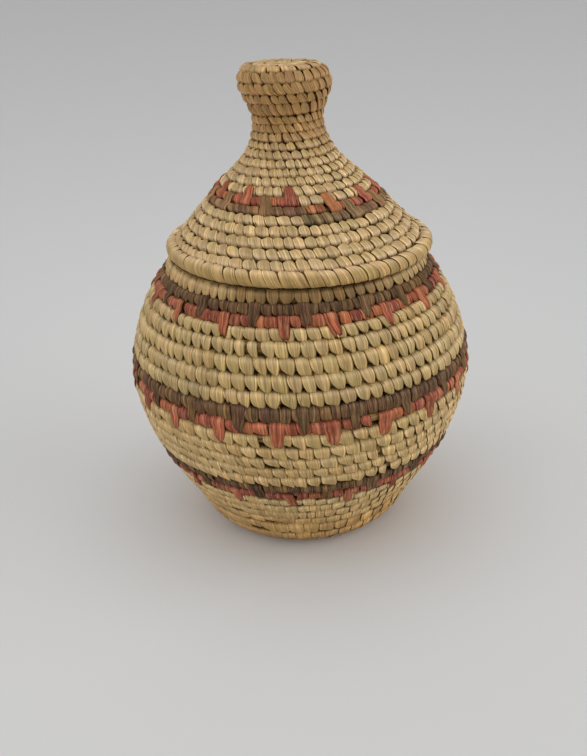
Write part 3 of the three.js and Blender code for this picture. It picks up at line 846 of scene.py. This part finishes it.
straw = strand_material("straw_strand", 0.50, 0.40, 0.18, 0.7)
dyed = dict(red=strand_material("red_strand", 0.60, 0.20, 0.30, 0.8, RED_WORN, 0.6),
            brown=strand_material("brown_strand", 0.65, 0.15, 0.34, 0.8, BROWN_WORN, 0.5))
grass = strand_material("bundle_grass", 0.70, 0.25, 0.36, 0.8)
DYES = dict(red=RED, brown=BROWN)


class Coil(Wall):
    """The outside of the basket or of the lid: one coil that is sewn in stretches of colour."""

    def __init__(self, body, points, edges, counts, start, tips_up, shift=None):
        super().__init__(smooth_curve(points), edges, shift=shift)
        self.body, self.counts, self.start, self.tips_up = body, counts, start, tips_up
        self.tips = turns_round(counts, start, not tips_up)

    def rows(self, first, last):
        """Turns of the tips in some rows."""
        row = np.floor(self.tips - self.start).astype(int)
        return self.tips[(row >= first) & (row < last)]

    def sew(self, name, first, last, tint, closed=False, **how):
        """Natural stitches on some rows, and closed if they end in the middle of the coil."""
        turns = self.rows(first, last)
        strands = Strands()
        stitch(self, strands, turns, self.tips_up, tint(turns), **how)
        if closed:
            middle_of_coil(self, strands, self.rows(last, last + 1), self.length - 0.25, 0.1)
        strands.build(name + "_strands", straw, self.body, name)

    def sew_dyed(self, name, dye, row, places, count, tint, width, long_slant, **how):
        """A row of dyed stitches, with long ones that reach over the row before."""
        long_turns = spread(places, count, row, self.start)
        plain = without(self.rows(row, row + 1), long_turns, 1 / self.counts[row])
        strands = Strands()
        stitch(self, strands, plain, self.tips_up, tint(plain), long_turns=long_turns, **how)
        stitch_long(self, strands, long_turns, plain, self.tips_up, tint(long_turns), width,
                    long_slant(long_turns))
        strands.build(name + "_strands", dyed[dye], self.body, name)


# Outside of the basket
basket = Coil("basket", BASKET_POINTS, FOOT_EDGES + LOWER_EDGES + UPPER_EDGES + MOUTH_EDGES,
              BASKET_COUNTS, -BACK, False)
# Painted light: the foot and the lower course are painted lighter, for light thrown up by the floor
basket.sew("basket_foot_course", 0, LOWER_RED, lambda t: straw_tints(len(t), fallen(t), 1.12),
           shape=BRICK, slant=0.1, end=(0.6, 1.2), gaps=0, bite=0.2, puff=0.12, dome=0.2,
           splinters=0.15, short=0.03, seam=0.25, fold=0.4)
basket.sew("basket_lower_course", LOWER_RED + 2, MIDDLE_RED,
           lambda t: straw_tints(len(t), 0.20, 1.1), shape=SHINGLE, slant=0.24, cut=0.16,
           end=(0.45, 1.1), bite=0.24, puff=0.18, dome=0.25, short=0.05, seam=0.8)
basket.sew("basket_upper_course", MIDDLE_RED + 2, UPPER_RED,
           lambda t: straw_tints(len(t), 0.06), slant=0.26, cut=0.08, gaps=0.04, puff=0.34,
           edge=7, fold=1.3)
for band, red_row, width, level, *both in BASKET_BANDS:
    for dye, row, long_ones in zip(("red", "brown"), (red_row, red_row + 1), both):
        basket.sew_dyed(f"basket_{band}_{dye}", dye, row, *long_ones,
                        lambda t: level * dyed_tints(len(t), DYES[dye]), width,
                        lambda t: 0.15, slant=0.14, end=(0.9, 1.9), splinters=0.15)

# The row at the mouth, and the same stitches where they go over its edge to the inside
mouth_edge = Wall(np.vstack([[MOUTH_RADIUS, MOUTH_HEIGHT - 0.15],
                             arc(EDGE_RADIUS, EDGE_HEIGHT, EDGE_HALF_WIDTH, EDGE_HALF_HEIGHT,
                                 50, 165)]), [0, 1], margin=0.4)


def sew_mouth():
    turns = basket.rows(MOUTH_ROW, MOUTH_ROW + 1)
    n = len(turns)
    # Painted shade under the lid's edge: darker and more golden there, paler at both sides,
    # where the lid's edge doesn't shade it: from 15 to 50 degrees
    degrees = np.abs((turns - 0.02 + BACK) % 1 - BACK) * 360
    open_side = np.clip((degrees - 15) / 35, 0, 1)
    open_side = open_side ** 2 * (3 - 2 * open_side)
    tint = straw_tints(n, 0.8 - 0.55 * open_side, (0.57 + 0.47 * open_side)[:, None])
    low, high = basket.edge(turns), basket.length + 0 * turns
    around = 2 * np.pi * (MOUTH_RADIUS + 0.8)
    _, share, aside = shares(turns)
    lead = (0.14 + rng.normal(0, 0.03, n)) * around / n
    tilt = rng.normal(0.12, 0.04, n)
    mouth = Strands()
    mouth.add(tint, **pads(basket, turns, high, low - 1.0 + rng.normal(0, 0.1, n), share * around,
                           MOUTH_STITCH, lead=lead, aside=aside * around, tilt=tilt,
                           end=rng.uniform(0.7, 1.5, n), foot_dark=0.6))
    mouth.build("basket_mouth_course_strands", straw, "basket", "basket_mouth_course")
    over = Strands()
    over.add(tint, **pads(mouth_edge, turns - aside - lead / around, -0.3 + 0 * high,
                          mouth_edge.length + 0.4 + 0 * high,
                          share * 2 * np.pi * EDGE_STITCH_RADIUS, EDGE_STITCH, fineness=(11, 9),
                          puff=0.3, rib=0, tilt=tilt, dark=0.6))
    over.build("basket_mouth_edge_strands", straw, "basket", "basket_mouth_edge")


sew_mouth()


# Inside of the basket: a floor and the inner side of the wall, sewn in even rows
def plain_face(name, node, wall, body, row, width, centre=False):
    """Natural stitches over a whole face, in even rows about row high; centre is set where it
    ends in the middle."""
    rows = max(int(round(wall.length / row)), 1)
    wall.edges = np.linspace(0, wall.length, rows + 1)
    middles = (wall.edges[:-1] + wall.edges[1:]) / 2
    counts = [max(int(round(wall.around(m, 1.0) / width)), FEWEST_STITCHES) for m in middles]
    turns = turns_round(counts, 0, True)
    plain = turns[turns < rows - 1] if centre else turns
    strands = Strands()
    stitch(wall, strands, plain, centre, straw_tints(len(plain), 0.3), shape=SHINGLE,
           fineness=(9, 7), slant=-0.12, puff=0.35, gaps=0.02, splinters=0.2)
    if centre:
        middle_of_coil(wall, strands, turns[turns >= rows - 1], wall.length - 0.2, 0.3)
    strands.build(name, straw, body, node)


rising = basket.inner_points(WALL, basket.length)
rising = rising[rising[:, 1] > WALL + 1.2]
bottom = np.linspace((0.0, WALL), (rising[0, 0] - 1.5, WALL), 30)
inside = Wall(np.vstack([bottom, rising])[::-1], [0, 1], margin=0.3)
plain_face("basket_lining_strands", "basket_lining", inside, "basket", row=3.2,
           width=3.1, centre=True)

# Under the foot: a flat spiral from the heel to the middle
under_points = np.linspace((UNDER_RADIUS, UNDER_HEIGHT), (0.0, UNDER_HEIGHT), 40)
under = Wall(under_points, [0, 1], -1, margin=0.2)
plain_face("basket_base_strands", "basket_base", under, "basket", row=3.1, width=3.0,
           centre=True)

# The bundle of the basket, seen between the stitches outside and inside
core = Strands()
bundle_strip(basket, core, -BACK, MOUTH_ROW + 1 - BACK, -0.62)
bundle_strip(inside, core, 0, len(inside.edges) - 1, -0.62, steps=70, points=7)
bundle_strip(under, core, 0, len(under.edges) - 1, -0.62, steps=60, points=7)
skin(mouth_edge, core, -0.4)
core.build("basket_bundle_grass", grass, "basket", "basket_bundle")

# Outside of the lid. Its coil was worked from the knob down, so its tips point up.
lid = Coil("lid", LID_POINTS,
           SKIRT_EDGES + LID_BAND_EDGES + SLOPE_EDGES + KNOB_EDGES + CROWN_EDGES,
           LID_COUNTS, LID_START, True, lean)
broad_rows = dict(shape=PAD, fineness=(19, 13), gaps=0, seam=0.85, fold=2.0)
thin_rows = dict(shape=LEAF, fineness=(19, 13), gaps=0, end=(0.8, 1.6), bite=0.36, arch=0.04,
                 puff=0.24, seam=0.6, fold=1.3)
lid.sew("lid_skirt_course", 0, LID_BROWN, lid_tints, slant=0.36, end=(0.6, 1.1), bite=0.22,
        arch=0.17, puff=0.16, splinters=0.5, **broad_rows)
lid.sew("lid_slope_course", SLOPE_ROW, NECK_ROW, lid_tints, slant=0.34, end=(0.5, 1.0),
        bite=0.24, arch=0.20, puff=0.2, splinters=0.45, **broad_rows)
lid.sew("lid_neck_course", NECK_ROW, KNOB_ROW, lid_tints, slant=0.62, splinters=0.5, stray=0.13,
        **thin_rows)
lid.sew("lid_knob_course", KNOB_ROW, CROWN_ROW, lid_tints, slant=0.66, splinters=0.45,
        stray=0.14, **thin_rows)
lid.sew("lid_crown_course", CROWN_ROW, LID_ROWS - 1, lid_tints, closed=True, gaps=0,
        shape=SHINGLE, slant=0.2, end=(0.6, 1.1), puff=0.22)
for dye, row, long_ones, *colour in LID_BANDS:
    lid.sew_dyed("lid_" + dye, dye, row, *long_ones,
                 lambda t: newly_dyed(t, row, DYES[dye], *colour), LID_LONG_WIDTH,
                 lambda t: 0.22 + 0.16 * np.sin(2 * np.pi * t), shape=PAD, slant=0.3,
                 end=(0.9, 1.4), splinters=0.1, fineness=(19, 13), bite=0.22, arch=0.10, gaps=0)

# The thick coil at the edge of the lid: wide wraps whose tips go up into the first row
rim_path = arc(RIM_RADIUS, RIM_HEIGHT, RIM_HALF, RIM_HALF, -190, 66, 60)
rim_wall = Wall(np.vstack([rim_path, [RIM_END]]), [0, 1], 1, lean)


def sew_rim(fineness=(29, 11)):
    n = RIM_COUNT
    turns = (np.arange(n) + rng.normal(0, 0.11, n)) / n - BACK
    around = 2 * np.pi * (RIM_RADIUS + 1.0)
    _, share, aside = shares(turns)
    made = pads(rim_wall, turns, 0 * share, rim_wall.length + rng.uniform(-0.4, 0.3, n),
                share * around, RIM_STITCH, fineness=fineness,
                lead=-1.15 * around / n + rng.normal(0, 0.08, n), aside=aside * around, puff=0.10,
                edge=12, end=rng.uniform(0.8, 1.3, n), tilt=rng.normal(0.07, 0.03, n), rib=0.02,
                dark=0.8)
    # Painted light: the part that looks up is painted paler, the part under it darker
    above = np.clip((np.linspace(0, 1, fineness[0]) - 0.69) / 0.10, 0, 1)
    made["glow"] = made["glow"] * (0.76 + 0.46 * above)[None, :, None]
    rim = Strands()
    rim.add(straw_tints(n, -0.18, LID_LEVEL * 1.06), **made)
    rim.build("lid_rim_coil_strands", straw, "lid", "lid_rim_coil")


sew_rim()

# Inside of the lid, closed at the throat of the knob
hollow_points = lid.inner_points(WALL, KNOB_EDGES[0])
throat = hollow_points[-1] + (-0.8, 0.2)
cap = np.linspace(throat, (0.0, throat[1]), 14)
hollow = Wall(np.vstack([hollow_points, cap]), [0, 1], -1, lean, margin=0.3)
plain_face("lid_lining_strands", "lid_lining", hollow, "lid", row=2.6, width=2.9,
           centre=True)

# The ring that drops into the mouth
ring_low = FLANGE_BOTTOM + FLANGE_ROUND
ring_points = np.vstack([
    np.linspace((FLANGE_INNER, FLANGE_TOP + 2.0), (FLANGE_INNER, ring_low), 10),
    arc((FLANGE_OUTER + FLANGE_INNER) / 2, ring_low, FLANGE_ROUND, FLANGE_ROUND, 190, 350, 16),
    np.linspace((FLANGE_OUTER, ring_low), (FLANGE_OUTER, FLANGE_TOP), 10),
])
ring = Wall(ring_points, [0, 1], 1, lean, margin=0.3)
plain_face("lid_flange_strands", "lid_flange_coil", ring, "lid", row=3.1, width=3.0)

# The bundle of the lid
lid_core = Strands()
# The lid's bundle shows only in holes between stitches, so its crest is in deep painted shade
bundle_strip(lid, lid_core, LID_START, LID_ROWS + LID_START, -0.6, steps=80, deep=0.8, dark=0.75)
bundle_strip(hollow, lid_core, 0, len(hollow.edges) - 1, -0.6, steps=60, points=7, deep=0.6)
bundle_strip(ring, lid_core, 0, len(ring.edges) - 1, -0.6, steps=60, points=7, deep=0.6)
skin(rim_wall, lid_core, -0.42)
lid_core.build("lid_bundle_grass", grass, "lid", "lid_bundle")

# Camera
scene = bpy.context.scene


def axes_matrix(right, up, back, place):
    """A matrix with these axes and this place."""
    return Matrix([[right[i], up[i], back[i], place[i]] for i in range(3)] + [[0, 0, 0, 1]])


def place_camera():
    camera = bpy.data.objects.new("camera", bpy.data.cameras.new("camera"))
    camera.data.sensor_width = SENSOR
    camera.data.lens = FOCAL_PIXELS * SENSOR / PICTURE_HEIGHT
    camera.data.clip_start = CAMERA_NEAREST
    camera.data.clip_end = CAMERA_FARTHEST
    across = np.array([1, 0, 0])
    upward = np.array([0, math.sin(CAMERA_DOWN), math.cos(CAMERA_DOWN)])
    onward = np.array([0, math.cos(CAMERA_DOWN), -math.sin(CAMERA_DOWN)])
    right = math.cos(CAMERA_ROLL) * across - math.sin(CAMERA_ROLL) * upward
    up = math.sin(CAMERA_ROLL) * across + math.cos(CAMERA_ROLL) * upward
    place = np.array([CAMERA_SIDE, -CAMERA_BACK, CAMERA_HEIGHT]) * MM
    camera.matrix_world = axes_matrix(right, up, -onward, place)
    scene.collection.objects.link(camera)
    scene.camera = camera


place_camera()

# A pale paper floor, painted lighter near the basket to soften its shadow, darker far away
floor_mesh = bpy.data.meshes.new("floor")
floor_ways = ((-1, -1), (1, -1), (1, 1), (-1, 1))
floor_mesh.from_pydata([(x * FLOOR_HALF, y * FLOOR_HALF, 0) for x, y in floor_ways], [],
                       [(0, 1, 2, 3)])
floor = bpy.data.objects.new("floor", floor_mesh)
scene.collection.objects.link(floor)


def floor_paper():
    paper = bpy.data.materials.new("floor_paper")
    paper.use_nodes = True
    tree = paper.node_tree
    shader = tree.nodes["Principled BSDF"]
    shader.inputs["Roughness"].default_value = 0.95
    shader.inputs["Specular IOR Level"].default_value = 0.1
    spot = add_node(tree, "TexCoord").outputs["Object"]
    far = add_node(tree, "VectorMath", {0: spot}, operation="LENGTH").outputs["Value"]
    share = maths(tree, far, maths(tree, far, FLOOR_FADE), "DIVIDE")
    grey = add_node(tree, "MapRange", {"Value": share, "To Min": FLOOR_NEAR,
                                       "To Max": FLOOR_FAR}).outputs[0]
    tree.links.new(grey, shader.inputs["Base Color"])
    return paper


floor_mesh.materials.append(floor_paper())


# Soft light from all round, with wide lamps at both sides of the front and one overhead
def light_all_round():
    world = bpy.data.worlds.new("surround")
    scene.world = world
    world.use_nodes = True
    tree = world.node_tree
    light = tree.nodes["Background"]
    light.inputs[0].default_value = (1, 1, 1, 1)
    light.inputs[1].default_value = SURROUND
    backdrop = add_node(tree, "Background", {"Color": (BACKDROP, BACKDROP, BACKDROP, 1),
                                             "Strength": 1.0})
    path = add_node(tree, "LightPath").outputs
    mirrored = maths(tree, path["Is Glossy Ray"], path["Is Transmission Ray"], "MAXIMUM")
    seen = maths(tree, path["Is Camera Ray"], mirrored, "MAXIMUM")
    both = add_node(tree, "MixShader", {0: seen, 1: light.outputs[0], 2: backdrop.outputs[0]})
    tree.links.new(both.outputs[0], tree.nodes["World Output"].inputs[0])


def wide_sun(name, azimuth, elevation, strength, spread_angle):
    """A soft lamp with no end; azimuth 0 is at the front and 90 at the right."""
    data = bpy.data.lights.new(name, "SUN")
    data.energy = strength
    data.angle = math.radians(spread_angle)
    lamp = bpy.data.objects.new(name, data)
    a, e = math.radians(azimuth), math.radians(elevation)
    back = np.array([math.sin(a) * math.cos(e), -math.cos(a) * math.cos(e), math.sin(e)])
    side_way = np.cross([0.0, 1.0, 0.1], back)
    side_way /= np.linalg.norm(side_way)
    lamp.matrix_world = axes_matrix(side_way, np.cross(back, side_way), back, back)
    scene.collection.objects.link(lamp)


light_all_round()
for lamp_values in LAMPS:
    wide_sun(*lamp_values)

scene.view_settings.view_transform = "Standard"
